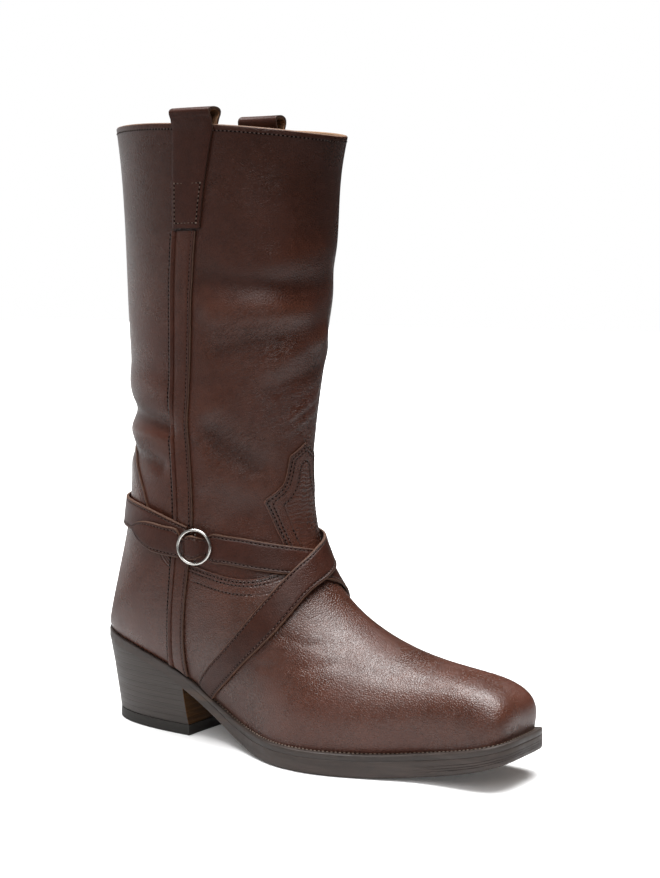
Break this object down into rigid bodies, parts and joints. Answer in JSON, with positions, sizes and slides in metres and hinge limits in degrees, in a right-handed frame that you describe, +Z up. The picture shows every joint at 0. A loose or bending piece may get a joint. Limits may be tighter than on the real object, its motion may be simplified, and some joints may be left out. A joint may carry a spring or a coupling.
{
  "type": "leather boot",
  "caption": "Tall pull-on leather boot for the right foot, with a slanted block heel, a squared toe, two crossing ankle straps that meet at a ring, and pull loops at the collar.",
  "frame": {"origin": "on the floor plane, under the middle of the whole boot's box", "axes": "+X towards the toe, +Y towards the inner side of the right foot, +Z up"},
  "size_m": [0.2811, 0.1009, 0.354],
  "materials": {
    "brown_leather": "waxed, soft sheen",
    "vamp_leather": "waxed, pebbled sheen",
    "counter_leather": "waxed, soft sheen",
    "strap_leather": "waxed, raw lighter edges",
    "strip_leather": "waxed, soft sheen",
    "sole_leather": "dyed and dressed edge",
    "welt_leather": "dyed and dressed edge",
    "heel_leather": "stacked layers, dyed",
    "tip_rubber": "matte",
    "insole_leather": "natural tan",
    "bright_metal": "polished"
  },
  "bodies": {
    "root": {"outsole": "sole_leather", "welt": "welt_leather", "heel_stack": "heel_leather", "heel_tip": "tip_rubber", "insole": "insole_leather", "upper": "brown_leather", "vamp": "vamp_leather", "counter": "counter_leather", "side_strip_lateral": "strip_leather", "side_strip_medial": "strip_leather", "strap_over": "strap_leather", "strap_under": "strap_leather", "ring_buckle": "bright_metal", "pull_loop_lateral": "brown_leather", "pull_loop_medial": "brown_leather"}
  },
  "joints": []
}
